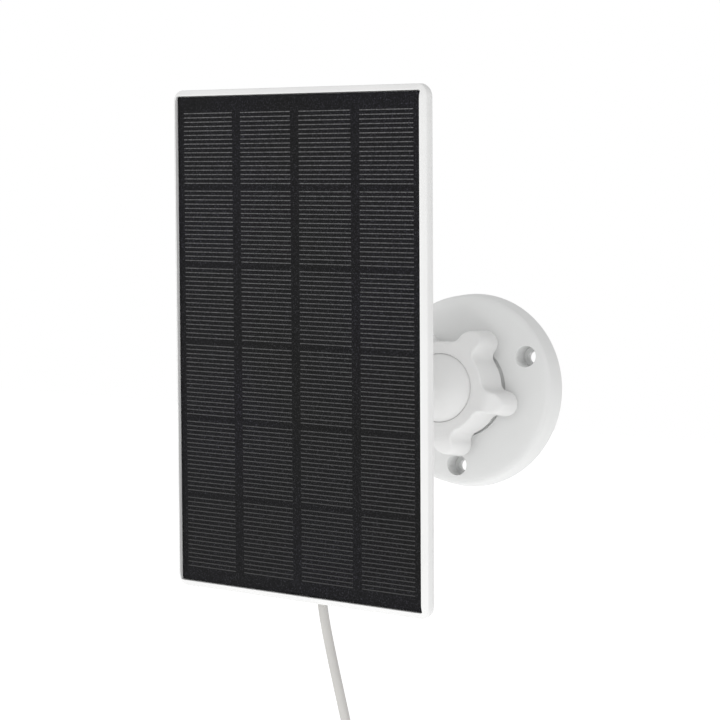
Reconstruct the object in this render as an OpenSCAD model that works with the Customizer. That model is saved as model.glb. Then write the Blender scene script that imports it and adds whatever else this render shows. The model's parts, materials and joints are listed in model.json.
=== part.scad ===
// Solar charging panel on a ball-joint wall mount, with its charging cord.
// Millimetres. +Z is up, the wall is the plane y = 0 and the panel looks towards -Y.
// The origin is the centre of the wall plate's back face.

/* [Wall plate] */
// Diameter of the wall plate at the wall
plate_d = 69; // [64:0.5:90]
// Height of the plate's outer wall
plate_rim_h = 7; // [5:0.5:9]
// Wall thickness of the plate
plate_wall = 2.2; // [1.6:0.1:3]
// Diameter of the circle that the screw holes lie on
screw_pcd = 54; // [52:0.5:56]
// Diameter of each screw hole
screw_hole_d = 4.2; // [3:0.1:5]
// Diameter of the well above each screw hole
screw_well_d = 7.2; // [6.5:0.1:8]
// Thickness of the floor of each well
screw_floor = 2.4; // [1.5:0.1:4]

/* [Ball joint] */
// Diameter of the ball
ball_d = 26.8; // [22:0.2:30]
// Distance from the wall to the ball's centre
ball_out = 21.5; // [20:0.5:28]
// Gap between the ball and what it turns in
ball_gap = 0.06; // [0.02:0.01:0.1]
// Thickness of the collar's wall beside the ball
collar_wall = 0.8; // [0.6:0.1:2]
// Gap between the collar's thread and the nut's thread
thread_gap = 0.08; // [0.02:0.01:0.1]

/* [Star nut] */
// Wall of the nut at the bottom of a valley
nut_wall = 2.4; // [1.8:0.1:4]
// How far a lobe stands out from the valleys
lobe_out = 6.9; // [5:0.1:8]
// Width of a lobe
lobe_w = 9; // [7:0.1:10]
// Radius of the hollow on each side of a lobe
lobe_fillet = 3; // [2:0.1:3.5]
// Number of lobes
lobe_count = 5; // [4:1:6]
// Angle of the first lobe, anticlockwise from +X
lobe_phase = -12; // [-30:0.5:30]
// Thickness of the nut
nut_h = 15.5; // [14:0.5:16.5]
// How far the nut's face falls back to the end of a lobe
nut_fall = 3.5; // [0.5:0.1:5]
// Distance from the ball's centre to the nut's front face
nut_ahead = 6.5; // [6:0.1:8]

/* [Arm] */
// Distance from the ball's centre to the arm's shoulder
arm_len = 52; // [45:0.5:80]
// Diameter of the arm next to the ball
neck_d = 8.4; // [6:0.2:10]
// Diameter of the arm's shoulder
shoulder_d = 15; // [12:0.5:20]
// Diameter of the threaded stud, a quarter inch
stud_d = 6.35; // [5:0.05:8]
// Gap between the stud and the threads that turn on it
stud_gap = 0.07; // [0.02:0.01:0.1]
// Thickness of the lock nut
lock_h = 6.4; // [5:0.2:9]
// Diameter of the lock nut
lock_d = 22; // [18:0.5:28]
// Thickness of the washer
washer_h = 1.5; // [1:0.1:2.5]

/* [Panel] */
// Width of the panel
panel_w = 114.3; // [100:0.1:160]
// Height of the panel
panel_h = 170; // [140:0.5:240]
// Depth of the panel from its lip to its back
panel_t = 12.8; // [11.5:0.1:18]
// Width of the frame's lip
lip_w = 2.05; // [1.2:0.05:2.4]
// How far the lip slopes back to the frame's side
lip_slope = 1.4; // [0.5:0.1:2]
// Height of the lip above the solar sheet
lip_up = 1; // [0.2:0.1:1.2]
// Height of the frame's outer side
side_h = 3.6; // [3.4:0.1:6]
// Radius of the panel's corners
corner_r = 3.8; // [2.8:0.1:8]
// Wall thickness of the rear cover
cover_wall = 2; // [1.4:0.1:3]
// How far the rear cover narrows from the frame to its back
cover_taper = 10; // [4:0.5:14]
// How far the arm's axis lies below the panel's centre
arm_drop = 19.1; // [0:0.1:40]
// Turn of the panel about the vertical, as stored
panel_yaw = -13.9; // [-30:0.1:30]
// Forward tip of the panel, as stored
panel_pitch = 6.3; // [-20:0.1:20]

/* [Solar sheet] */
// Gap between the solar sheet and the lip
sheet_gap = 0.35; // [0.2:0.05:1.5]
// Columns of cells
cell_cols = 4; // [2:1:6]
// Rows of cells
cell_rows = 6; // [3:1:10]
// Gap between neighbouring cells
cell_gap = 1; // [0.5:0.1:4]
// Margin between the cells and the sheet's sides
side_margin = 0.8; // [0.5:0.1:8]
// Margin between the cells and the sheet's ends
end_margin = 3.75; // [2:0.05:10]

/* [Cord] */
// Diameter of the cord
cord_d = 3.3; // [2.8:0.1:3.6]
// Length of the strain relief outside the cover
relief_len = 9; // [6:0.5:14]

/* [Hidden] */
$fn = 96;
eps = 0.01;

// ball joint: radii, and heights measured out from the wall
ball_r = ball_d / 2;
mouth_gap = 0.22;
collar_r = ball_r + mouth_gap + collar_wall;
collar_top = ball_out - 1.5;
bore_r = collar_r + thread_gap;
seat_top = ball_out - 0.45 * ball_r;
seat_rim = 0.65;
seat_r = chord(ball_r, ball_out - seat_top) + seat_rim;
seat_floor = 1.6;
seat_bottom = ball_out - ball_r - seat_floor;
nut_front = ball_out + nut_ahead;
nut_back = nut_front - nut_h;
ring_gap = 0.1;
ring_bottom = ball_out + 1;
nut_lip = 1.9;
ring_top = nut_front - nut_lip;
valley_r = bore_r + nut_wall;
tip_r = lobe_w / 2;
lobe_mid = valley_r + lobe_out - tip_r;
hollow_mid = valley_r + lobe_fillet;
hollow_turn = acos((pow(lobe_mid, 2) + pow(hollow_mid, 2) - pow(tip_r + lobe_fillet, 2))
    / (2 * lobe_mid * hollow_mid));
hollow_at = hollow_mid * [cos(hollow_turn), sin(hollow_turn)];
hollow_lean = atan2(hollow_at.y, lobe_mid - hollow_at.x);
face_r = lobe_mid;
plate_r = plate_d / 2;
rim_draft = 0.9;
rim_top_r = plate_r - rim_draft;
rim_edge = 1.2;
face_out_r = rim_top_r - rim_edge;
face_out_h = plate_rim_h + rim_edge;
face_in_r = collar_r + 2.6;
nut_clearance = 2.4;
face_in_h = nut_back - nut_clearance;
boss_wall = 1.6;
boss_r = screw_well_d / 2 + boss_wall;
rib_t = 1.6;
hole_angles = [29, 149, 269];

// arm and panel: distances from the ball's centre along the arm
stud_r = stud_d / 2;
stud_bore_r = stud_r + stud_gap;
stud_depth = 14;
stud_start = arm_len - stud_depth;
neck_end = ball_r + 6;
flare_len = 8;
shoulder_len = 4;
shoulder_step = 2.2;
nut_insert_r = stud_r + 2.2;
scallop_r = 1.8;
scallop_out = 0.9;
lock_gap = 3;
washer_in = 1.5;
pair_gap = 0.1;
cover_boss_h = 2;
back_s = arm_len + lock_gap + lock_h + washer_h + cover_boss_h + pair_gap;
front_s = back_s + panel_t;
sheet_s = front_s - lip_up;
seam_s = front_s - side_h;
cover_boss_s = back_s - cover_boss_h;
washer_s = cover_boss_s - pair_gap - washer_h;
lock_s = washer_s - pair_gap - lock_h;
insert_r = 5.5;
insert_wall = 2.5;
insert_top = back_s + 8;
stud_end = insert_top - 2;

// layers of the solar sheet, from the front
laminate_t = 0.7;
cell_t = 0.3;
board_t = 1.1;
tape_t = 0.5;
board_front_s = sheet_s - laminate_t;
board_back_s = board_front_s - board_t;
ledge_s = board_back_s - tape_t;
lip_crest = 0.2;
open_w = panel_w - 2 * lip_w;
open_h = panel_h - 2 * lip_w;
sheet_w = open_w - 2 * sheet_gap;
sheet_h = open_h - 2 * sheet_gap;
cell_w = (sheet_w - 2 * side_margin - (cell_cols - 1) * cell_gap) / cell_cols;
cell_h = (sheet_h - 2 * end_margin - (cell_rows - 1) * cell_gap) / cell_rows;
ribbon_w = 1.5;
ribbon_t = 0.15;
tab_w = 2.6;
ledge_w = 4;
tongue_h = 1.2;

// rear cover
cover_step = 0.2;
cover_w = panel_w - 2 * cover_step;
cover_h = panel_h - 2 * cover_step;
back_w = cover_w - 2 * cover_taper;
back_h = cover_h - 2 * cover_taper;
cover_edge = 0.8;
inner_s = back_s + cover_wall;
post_in = 5;
post_x = back_w / 2 - post_in;
post_y = back_h / 2 - post_in;
post_r = 3.4;
post_s = inner_s + 2;
slot_l = 3.2;
slot_w = 0.7;
slot_depth = 0.9;
screw_r = 1.2;
screw_head_r = 2.6;
screw_head_h = 1.7;

// cable outlet and circuit board, in the panel's own x and y, y = 0 on the arm's axis
outlet_proud = 1.3;
outlet_y = arm_drop - back_h / 2 - outlet_proud;
outlet_r = 8.5;
outlet_len = 17;
outlet_axis_s = back_s;
nose_sink = 3.3;
nose_axis_s = back_s + nose_sink;
relief_r = 2.6;
relief_root = 9;
relief_shoulder = 0.9;
flange_r = relief_r + 1;
flange_t = 1.5;
flange_pocket_r = flange_r + 0.4;
groove_r = relief_r + relief_shoulder + 0.4;
groove_depth = 5.6;
pcb_w = 28;
pcb_h = 18;
pcb_t = 1.2;
pcb_x = 24;
pcb_y = outlet_y + outlet_len + outlet_r + 1.5 + pcb_h / 2;
pcb_s = inner_s + 2.5;
pcb_top = pcb_s + pcb_t;
pcb_edge = pcb_y - pcb_h / 2;
pcb_screw_x = 11;
pcb_screw_r = 0.9;
pcb_head_r = 1.9;
inductor_w = 6;
inductor_h = 2.4;
inductor_at = [pcb_x - 4.5, pcb_y + 3];
chip_w = 4;
chip_at = [pcb_x + 3, pcb_y + 4];
diode_at = [pcb_x + 5.2, pcb_y - 4.4];
pad_x = pcb_x - 11;
wire_r = 0.6;
wire_pad = 0.02;

// route of the free cord, from inside the strain relief to its coil
cord_r = cord_d / 2;
lead_route = [
    [-13.9, -77.8, -66.4], [-13.8, -77.2, -72.3], [-13.5, -77, -75.1], [-12.9, -76.8, -78.2],
    [-11.9, -76.5, -82.5], [-10.3, -76.1, -88.5], [-8.6, -75.7, -94.5], [-6.9, -75.2, -100.5],
    [-5.3, -74.5, -106.5], [-3.8, -73.6, -112.5], [-2.5, -72.5, -118.5], [-1.5, -71.4, -124],
    [-1.1, -70.2, -129], [-0.5, -69, -134], [1.1, -67.8, -138], [4, -66.7, -141.2], [8, -66, -143.2]
];
lead_rest = [-14.02, -78.14, -63.79];
lead_shift = placed([0, outlet_y, outlet_axis_s]) - lead_rest;
held_points = 3;
lead_points = [for (i = [0 : len(lead_route) - 1])
    lead_route[i] + lead_shift * max(0, min(1, 1 - (i - held_points) / 10))];
// the coil: turns lie beside and on each other, a cord's width apart
coil_centre = [-1, -74.25, -166.5];
coil_mean_r = 20;
coil_layers = 4;
coil_cols = 6;
coil_bundle_r = coil_layers * cord_d;
coil_bundle_y = coil_cols * cord_d;
// route of the free end, off the coil's inner turn and down to the plug
tail_points = [
    [10.5, -65.7, -156.9], [12.4, -65.2, -159.8], [13.6, -64.2, -163.2], [14.1, -63.2, -167],
    [14.2, -62.5, -171.5], [14.2, -62.1, -176.5], [14.2, -62, -182], [14.2, -62, -187.5],
    [14.2, -62, -193], [14.2, -62, -198]
];
tie_t = 1.2;
tie_from = 46;
tie_span = 19;
plug_at = [14.2, -62, -196];
plug_boot_len = 7;
grip_w = 11.6;
grip_t = 6.4;
grip_len = 19;
shell_w = 8.3;
shell_t = 2.5;
shell_len = 6.65;
shell_wall = 0.3;
tongue_t = 0.7;

// radius of a circle cut from a sphere of radius r at height h
function chord(r, h) = sqrt(r * r - h * h);
// n + 1 points on an arc of radius r about c, from angle a to angle b
function arc(c, r, a, b, n) = [for (k = [0 : n]) let (t = a + (b - a) * k / n) c + r * [cos(t), sin(t)]];
function turned(p, a) = [for (q = p) [q.x * cos(a) - q.y * sin(a), q.x * sin(a) + q.y * cos(a)]];
// a lobe pointing along +X, from the valley on its right to the valley on its left
function lobe() = concat(
    arc([hollow_at.x, -hollow_at.y], lobe_fillet, 180 - hollow_turn, hollow_lean, 6),
    arc([lobe_mid, 0], tip_r, hollow_lean - 180, 180 - hollow_lean, 14),
    arc(hollow_at, lobe_fillet, -hollow_lean, hollow_turn - 180, 6),
    arc([0, 0], valley_r, hollow_turn + 6, 360 / lobe_count - hollow_turn - 6, 2));
function star() = [for (i = [0 : lobe_count - 1]) each turned(lobe(), lobe_phase + i * 360 / lobe_count)];
// where a point of the panel's own frame lies in the room
function placed(p) = let (y = -p.z * cos(panel_pitch) - p.y * sin(panel_pitch))
    [p.x * cos(panel_yaw) - y * sin(panel_yaw), p.x * sin(panel_yaw) + y * cos(panel_yaw) - ball_out,
    p.y * cos(panel_pitch) - p.z * sin(panel_pitch)];
function unit(v) = v / norm(v);
function along(p, i) = unit(p[min(i + 1, len(p) - 1)] - p[max(i - 1, 0)]);

// +Z of the children points out from the wall
module outward() { rotate([90, 0, 0]) children(); }
// +Z of the children points along the arm, from the ball's centre to the panel
module on_arm() { translate([0, -ball_out, 0]) rotate([panel_pitch, 0, panel_yaw]) outward() children(); }
// straight piece along the arm from s0 to s1
module disc(r, s0, s1) { translate([0, 0, s0]) cylinder(r = r, h = s1 - s0); }
module rounded(w, h, r) {
    square([w - 2 * r, h], center = true);
    square([w, h - 2 * r], center = true);
    for (x = [-1, 1], y = [-1, 1]) translate([x * (w / 2 - r), y * (h / 2 - r)]) circle(r);
}
// slab of the panel, centred on the panel, from s0 to s1
module slab(w, h, r, s0, s1) {
    translate([0, arm_drop, s0]) linear_extrude(s1 - s0) rounded(w, h, r);
}
// box centred at x, y from s0 to s1
module block(x, y, w, h, s0, s1) { translate([x - w / 2, y - h / 2, s0]) cube([w, h, s1 - s0]); }
// tube of n sides swept along the points p; side is never along the tube
module tube(p, r, n, side) {
    rings = [for (i = [0 : len(p) - 1])
        let (t = along(p, i), u = unit(cross(t, side)), v = cross(t, u))
        for (k = [0 : n - 1]) p[i] + r * (cos(360 * k / n) * u + sin(360 * k / n) * v)];
    last = (len(p) - 1) * n;
    walls = [for (i = [0 : len(p) - 2], k = [0 : n - 1])
        [i * n + k, i * n + (k + 1) % n, (i + 1) * n + (k + 1) % n, (i + 1) * n + k]];
    ends = [[for (k = [n - 1 : -1 : 0]) k], [for (k = [0 : n - 1]) last + k]];
    polyhedron(rings, concat(walls, ends));
}

module wall_plate() color("whitesmoke") outward() {
    difference() {
        union() {
            rotate_extrude() polygon([[0, 0], [plate_r, 0], [rim_top_r, plate_rim_h],
                [face_out_r, face_out_h], [face_in_r, face_in_h], [0, face_in_h]]);
            disc(collar_r, 0, collar_top);
        }
        difference() {
            rotate_extrude() polygon([[collar_r, -eps], [plate_r - plate_wall, -eps],
                [face_out_r - plate_wall, face_out_h - plate_wall],
                [face_in_r, face_in_h - plate_wall], [collar_r, face_in_h - plate_wall]]);
            for (a = hole_angles) {
                rotate(a) translate([screw_pcd / 2, 0, -1]) cylinder(r = boss_r, h = face_in_h);
                rotate(a + 60) translate([collar_r - 1, -rib_t / 2, -1])
                    cube([plate_r - collar_r, rib_t, face_in_h]);
            }
        }
        for (a = hole_angles) rotate(a) translate([screw_pcd / 2, 0, 0]) {
            translate([0, 0, -1]) cylinder(d = screw_hole_d, h = nut_back);
            translate([0, 0, screw_floor]) cylinder(d = screw_well_d, h = nut_back);
        }
        disc(seat_r + ball_gap, seat_bottom - ball_gap, collar_top + 1);
        disc(collar_r - collar_wall, seat_top, collar_top + 1);
    }
}

module ball_seat() color("dimgray") outward() difference() {
    disc(seat_r, seat_bottom, seat_top);
    translate([0, 0, ball_out]) sphere(r = ball_r + ball_gap);
}

module pressure_ring() color("gainsboro") outward() difference() {
    disc(bore_r - ring_gap, ring_bottom, ring_top - ring_gap);
    translate([0, 0, ball_out]) sphere(r = ball_r + ball_gap);
}

module star_nut() color("white") outward() difference() {
    intersection() {
        translate([0, 0, nut_back]) linear_extrude(nut_h) polygon(star());
        rotate_extrude() polygon([[0, nut_back - 1], [lobe_mid + tip_r + 1, nut_back - 1],
            [lobe_mid + tip_r + 1, nut_front - nut_fall * (1 + 1 / tip_r)],
            [face_r, nut_front], [0, nut_front]]);
    }
    disc(bore_r, nut_back - 1, ring_top);
    translate([0, 0, ball_out]) sphere(r = ball_r + mouth_gap + 0.03);
}

module ball_arm() color("white") on_arm() difference() {
    union() {
        sphere(r = ball_r);
        rotate_extrude() polygon([[0, 0], [neck_d / 2, 0], [neck_d / 2, neck_end],
            [shoulder_d / 2 - shoulder_step, arm_len - flare_len], [shoulder_d / 2, arm_len - shoulder_len],
            [shoulder_d / 2, arm_len], [0, arm_len]]);
    }
    disc(stud_r, stud_start, arm_len + 1);
}

module arm_stud() color("silver") on_arm() disc(stud_r, stud_start, stud_end);

module lock_washer() color("dimgray") on_arm() difference() {
    disc(lock_d / 2 - washer_in, washer_s, washer_s + washer_h);
    disc(stud_r + ring_gap, washer_s - 1, washer_s + washer_h + 1);
}

module lock_nut() color("white") on_arm() difference() {
    disc(lock_d / 2, lock_s, lock_s + lock_h);
    disc(nut_insert_r, lock_s - 1, lock_s + lock_h + 1);
    for (a = [0 : 30 : 330]) rotate(a) translate([lock_d / 2 + scallop_out, 0, 0])
        disc(scallop_r, lock_s - 1, lock_s + lock_h + 1);
}

module lock_nut_insert() color("goldenrod") on_arm() difference() {
    disc(nut_insert_r, lock_s, lock_s + lock_h);
    disc(stud_bore_r, lock_s - 1, lock_s + lock_h + 1);
}

// place the children on the four screw posts behind the panel's corners
module at_posts() {
    for (x = [-1, 1], y = [-1, 1]) translate([x * post_x, arm_drop + y * post_y, 0]) children();
}

module front_frame() color("white") on_arm() difference() {
    union() {
        hull() {
            slab(panel_w, panel_h, corner_r, seam_s, front_s - lip_slope, $fn = 32);
            slab(open_w + 2 * lip_crest, open_h + 2 * lip_crest, corner_r - lip_w + lip_crest,
                seam_s, front_s, $fn = 32);
        }
        slab(open_w, open_h, corner_r - lip_w, seam_s - tongue_h, ledge_s);
    }
    slab(open_w, open_h, 0.6, ledge_s, front_s + 1);
    difference() {
        slab(open_w - 2 * ledge_w, open_h - 2 * ledge_w, 3, seam_s - 9, front_s);
        at_posts() disc(post_r, post_s, ledge_s);
        for (x = [-1, 1], y = [-1, 1]) {
            block(x * (post_x + open_w / 4), arm_drop + y * (post_y + open_h / 4),
                open_w / 2 + 5, open_h / 2 + 5, seam_s - tongue_h, ledge_s);
        }
    }
    at_posts() disc(screw_r, post_s - 1, ledge_s - 0.6);
}

// place the children on each cell
module each_cell() {
    for (i = [0 : cell_cols - 1], j = [0 : cell_rows - 1])
        translate([(i - (cell_cols - 1) / 2) * (cell_w + cell_gap),
            arm_drop + (j - (cell_rows - 1) / 2) * (cell_h + cell_gap), 0]) children();
}

module clear_laminate() color("#202226") on_arm() difference() {
    slab(sheet_w, sheet_h, 0.5, board_front_s, sheet_s);
    each_cell() block(0, 0, cell_w + 0.1, cell_h + 0.1, board_front_s - 1, board_front_s + cell_t + 0.05);
}

module solar_cells() color("#15161a") on_arm() each_cell()
    block(0, 0, cell_w, cell_h, board_front_s, board_front_s + cell_t);

module ribbons(grow) {
    for (i = [0 : cell_cols - 1], side = [-1, 1])
        block((i - (cell_cols - 1) / 2) * (cell_w + cell_gap) + side * cell_w / 4, arm_drop,
            ribbon_w + grow, sheet_h - 2 * end_margin - 4 + grow,
            board_front_s - ribbon_t - grow / 2, board_front_s);
}

module cell_ribbons() color("silver") on_arm() ribbons(0);

module backing_board() color("#101114") on_arm() difference() {
    union() {
        slab(sheet_w, sheet_h, 0.5, board_back_s, board_front_s);
        for (x = [-1, 1]) block(x * sheet_w / 4, arm_drop - sheet_h / 2 - sheet_gap / 2 + 0.3,
            tab_w, sheet_gap + 0.5, board_back_s, board_front_s);
    }
    ribbons(0.1);
}

module seal_tape() color("dimgray") on_arm() difference() {
    slab(sheet_w, sheet_h, 0.5, ledge_s, board_back_s);
    slab(sheet_w - 6, sheet_h - 6, 0.5, ledge_s - 1, board_back_s + 1);
}

// the cover's outer shape, or its inside when grown smaller
module cover_shape(less, low) {
    hull() {
        slab(cover_w - 2 * less, cover_h - 2 * less, corner_r - cover_step,
            seam_s - cover_edge, seam_s, $fn = 32);
        slab(back_w - 2 * less, back_h - 2 * less, corner_r + 4, low, low + 0.4, $fn = 32);
    }
}

// a round piece lying along the cable outlet's axis, from y0 to y1
module outlet_disc(r, y0, y1, s) { translate([0, y0, s]) rotate([-90, 0, 0]) cylinder(r = r, h = y1 - y0); }

module rear_cover() color("white") on_arm() difference() {
    union() {
        difference() {
            cover_shape(0, back_s);
            cover_shape(cover_wall, inner_s);
            slab(open_w + 0.2, open_h + 0.2, corner_r - lip_w, seam_s - tongue_h - 0.1, seam_s + 1);
        }
        disc(lock_d / 2, cover_boss_s, inner_s);
        disc(insert_r + insert_wall, back_s, insert_top);
        at_posts() disc(post_r, back_s + 0.5, post_s - 0.1);
        for (x = [-1, 1]) translate([pcb_x + x * pcb_screw_x, pcb_y, 0]) disc(2.5, back_s + 0.5, pcb_s);
        intersection() {
            union() {
                outlet_disc(outlet_r, outlet_y, outlet_y + outlet_len, nose_axis_s);
                translate([0, outlet_y + outlet_len, nose_axis_s]) sphere(r = outlet_r);
            }
            block(0, outlet_y + outlet_len, 3 * outlet_r, 2 * outlet_len, back_s - outlet_r, back_s + 5);
        }
        intersection() {
            cover_shape(0, back_s);
            block(0, outlet_y, 2 * groove_r + 4, 13, back_s, back_s + groove_depth);
        }
    }
    disc(insert_r, cover_boss_s - 1, insert_top + 1);
    at_posts() {
        disc(screw_r + 0.2, back_s - 1, post_s + 1);
        disc(screw_head_r + 0.3, back_s - 1, back_s + screw_head_h);
    }
    for (x = [-1, 1]) translate([pcb_x + x * pcb_screw_x, pcb_y, 0]) disc(pcb_screw_r, back_s + 1, pcb_s + 1);
    outlet_disc(groove_r, outlet_y - 15, outlet_y, outlet_axis_s);
    outlet_disc(relief_r, outlet_y - 1, outlet_y + relief_root + 1, outlet_axis_s);
    outlet_disc(flange_pocket_r, outlet_y + relief_root, outlet_y + relief_root + flange_t + 3.5,
        outlet_axis_s);
    block(0, outlet_y + relief_root + 3.2, 4.4, 6.4, back_s, back_s + 6);
}

module thread_insert() color("goldenrod") on_arm() difference() {
    disc(insert_r, cover_boss_s, insert_top);
    disc(stud_bore_r, cover_boss_s - 1, insert_top + 1);
}

module cover_screws() color("silver") on_arm() at_posts() difference() {
    union() {
        disc(screw_head_r, back_s + 0.1, back_s + screw_head_h);
        disc(screw_r, back_s + 0.1, ledge_s - 1);
    }
    block(0, 0, slot_l, slot_w, back_s, back_s + slot_depth);
    block(0, 0, slot_w, slot_l, back_s, back_s + slot_depth);
}

module circuit_board() color("darkgreen") on_arm() difference() {
    block(pcb_x, pcb_y, pcb_w, pcb_h, pcb_s, pcb_top);
    for (x = [-1, 1]) translate([pcb_x + x * pcb_screw_x, pcb_y, 0]) disc(1.1, pcb_s - 1, pcb_top + 1);
}

module board_screws() color("silver") on_arm() for (x = [-1, 1])
    translate([pcb_x + x * pcb_screw_x, pcb_y, 0]) {
    disc(pcb_screw_r, back_s + 2, pcb_top);
    disc(pcb_head_r, pcb_top, pcb_top + 1.1);
}

module power_inductor() color("dimgray") on_arm() difference() {
    block(inductor_at.x, inductor_at.y, inductor_w, inductor_w, pcb_top, pcb_top + inductor_h);
    translate([inductor_at.x, inductor_at.y, 0]) difference() {
        disc(2.6, pcb_top + inductor_h - 0.5, pcb_top + 3);
        disc(1.9, pcb_top + inductor_h - 0.6, pcb_top + 3);
    }
}

module regulator_chip() color("#222222") on_arm() {
    block(chip_at.x, chip_at.y, chip_w, chip_w, pcb_top, pcb_top + 1);
    for (x = [-1, 1], k = [-1.2, -0.4, 0.4, 1.2])
        block(chip_at.x + x * (chip_w / 2 + 0.3), chip_at.y + k, 0.8, 0.35, pcb_top, pcb_top + 0.3);
}

module filter_capacitors() color("tan") on_arm() for (k = [0, 1])
    block(pcb_x + 8, pcb_y + 6.8 - 2.6 * k, 3.2, 1.6, pcb_top, pcb_top + 1.3);

module bypass_diode() color("#222222") on_arm() {
    block(diode_at.x, diode_at.y, 4.4, 2.6, pcb_top, pcb_top + 1.5);
    for (x = [-1, 1]) block(diode_at.x + x * 2.5, diode_at.y, 0.9, 1.4, pcb_top, pcb_top + 0.4);
}

module panel_leads() on_arm() for (x = [-1, 1]) color(x > 0 ? "firebrick" : "#222222") {
    tube([for (p = [
        [5, -15, board_back_s - wire_pad], [5, -15, board_back_s - 1.3], [5, -14, board_back_s - 2.2],
        [5, -11, board_back_s - 2.5], [5, -8.6, board_back_s - 2.8], [5, -7.4, pcb_top + 2],
        [5, -7.4, pcb_top + 1], [5, -7.4, pcb_top + wire_pad]
    ]) [pcb_x + x * p[0], pcb_y + p[1], p[2]]], wire_r, 8, [1, 0, 0]);
    tube([for (p = [
        [0, 0.9, relief_root + 1.6, 0], [0, 0.9, relief_root + 3, 0.2], [0, 0.9, relief_root + 4.1, 2],
        [0, 0.9, relief_root + 4.5, 4.5], [0.05, 0.9, relief_root + 5.5, 6.3], [0.2, 1, relief_root + 7, 7.2],
        [0.5, 1.4, relief_root + 10, 7.6], [0.8, 1.7, pcb_edge - outlet_y - 5, 7.6],
        [0.96, 1.8, pcb_edge - outlet_y - 1.8, 7.6], [1, 1.8, pcb_edge - outlet_y + 0.6, 7.4],
        [1, 1.8, pcb_edge - outlet_y + 1.4, pcb_top - back_s + 1],
        [1, 1.8, pcb_edge - outlet_y + 1.4, pcb_top - back_s + wire_pad]
    ]) [p[0] * pad_x + x * p[1], outlet_y + p[2], back_s + p[3]]], wire_r, 8, [0.3, 0, 1]);
}

module strain_relief() color("lightgray") on_arm() {
    outlet_disc(relief_r, outlet_y, outlet_y + relief_root, outlet_axis_s);
    outlet_disc(flange_r, outlet_y + relief_root, outlet_y + relief_root + flange_t, outlet_axis_s);
    translate([0, outlet_y, outlet_axis_s]) rotate([90, 0, 0])
        cylinder(r1 = relief_r + relief_shoulder, r2 = cord_r + 0.75, h = relief_len);
}

module cord_lead() color("lightgray") tube(lead_points, cord_r, 8, [0, 1, 0]);

module cord_coil() color("lightgray") translate(coil_centre) outward()
    rotate_extrude() translate([coil_mean_r, 0]) rounded(coil_bundle_r, coil_bundle_y, cord_r);

module cord_tail() color("lightgray") tube(tail_points, cord_r, 8, [0, 1, 0]);

module cord_tie() color("gray") translate(coil_centre) outward()
    rotate(tie_from) rotate_extrude(angle = tie_span)
    translate([coil_mean_r, 0]) difference() {
        rounded(coil_bundle_r + 2 * tie_t, coil_bundle_y + 2 * tie_t, cord_r + tie_t);
        rounded(coil_bundle_r, coil_bundle_y, cord_r);
    }

module plug_grip() color("whitesmoke") translate(plug_at) rotate([180, 0, 0]) {
    cylinder(r1 = cord_r + 0.5, r2 = grip_t / 2, h = plug_boot_len);
    translate([0, 0, plug_boot_len]) linear_extrude(grip_len) rounded(grip_w, grip_t, 2.6);
}

module plug_shell() color("silver") translate(plug_at) rotate([180, 0, 0]) difference() {
    translate([0, 0, plug_boot_len + grip_len]) linear_extrude(shell_len)
        rounded(shell_w, shell_t, shell_t / 2 - 0.05);
    translate([0, 0, plug_boot_len + grip_len + 0.5]) linear_extrude(shell_len)
        rounded(shell_w - 2 * shell_wall, shell_t - 2 * shell_wall, shell_t / 2 - shell_wall - 0.05);
}

module plug_tongue() color("#222222") translate(plug_at) rotate([180, 0, 0])
    block(0, 0, shell_w - 2.2, tongue_t, plug_boot_len + grip_len + 0.5,
        plug_boot_len + grip_len + shell_len - 1);

wall_plate();
ball_seat();
ball_arm();
arm_stud();
pressure_ring();
star_nut();
lock_washer();
lock_nut();
lock_nut_insert();
front_frame();
clear_laminate();
solar_cells();
cell_ribbons();
backing_board();
seal_tape();
rear_cover();
thread_insert();
cover_screws();
circuit_board();
board_screws();
power_inductor();
regulator_chip();
filter_capacitors();
bypass_diode();
panel_leads();
strain_relief();
cord_lead();
cord_coil();
cord_tail();
cord_tie();
plug_grip();
plug_shell();
plug_tongue();
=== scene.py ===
# Solar charging panel on its ball-joint wall mount: finish, small detail, light and camera.
# Everything is in metres, in the same frame as the CAD model.
import bpy
import json
import math
from mathutils import Matrix, Vector


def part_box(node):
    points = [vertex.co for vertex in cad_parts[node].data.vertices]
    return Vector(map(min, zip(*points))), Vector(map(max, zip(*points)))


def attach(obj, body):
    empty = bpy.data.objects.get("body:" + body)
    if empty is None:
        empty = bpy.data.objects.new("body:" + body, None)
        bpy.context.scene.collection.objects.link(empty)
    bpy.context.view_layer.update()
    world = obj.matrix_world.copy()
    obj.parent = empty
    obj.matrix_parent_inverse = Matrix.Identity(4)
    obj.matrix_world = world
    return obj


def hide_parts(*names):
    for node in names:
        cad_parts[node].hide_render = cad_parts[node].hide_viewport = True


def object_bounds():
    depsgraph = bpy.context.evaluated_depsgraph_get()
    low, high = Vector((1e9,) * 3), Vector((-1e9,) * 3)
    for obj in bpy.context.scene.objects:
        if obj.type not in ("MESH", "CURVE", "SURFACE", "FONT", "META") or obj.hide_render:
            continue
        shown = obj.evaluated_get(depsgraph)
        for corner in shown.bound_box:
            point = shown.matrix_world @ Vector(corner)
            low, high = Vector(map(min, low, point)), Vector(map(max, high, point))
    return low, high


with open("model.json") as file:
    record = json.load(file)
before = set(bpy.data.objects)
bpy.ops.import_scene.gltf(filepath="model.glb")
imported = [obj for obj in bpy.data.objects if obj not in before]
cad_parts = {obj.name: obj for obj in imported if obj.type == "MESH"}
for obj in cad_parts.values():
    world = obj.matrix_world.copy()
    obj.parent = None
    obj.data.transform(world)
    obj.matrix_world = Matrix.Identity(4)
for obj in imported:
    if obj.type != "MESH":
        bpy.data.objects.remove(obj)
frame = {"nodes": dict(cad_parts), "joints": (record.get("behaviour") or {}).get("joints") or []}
cadBox = [list(corner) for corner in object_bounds()]
cadNodes = frame["nodes"]
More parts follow.
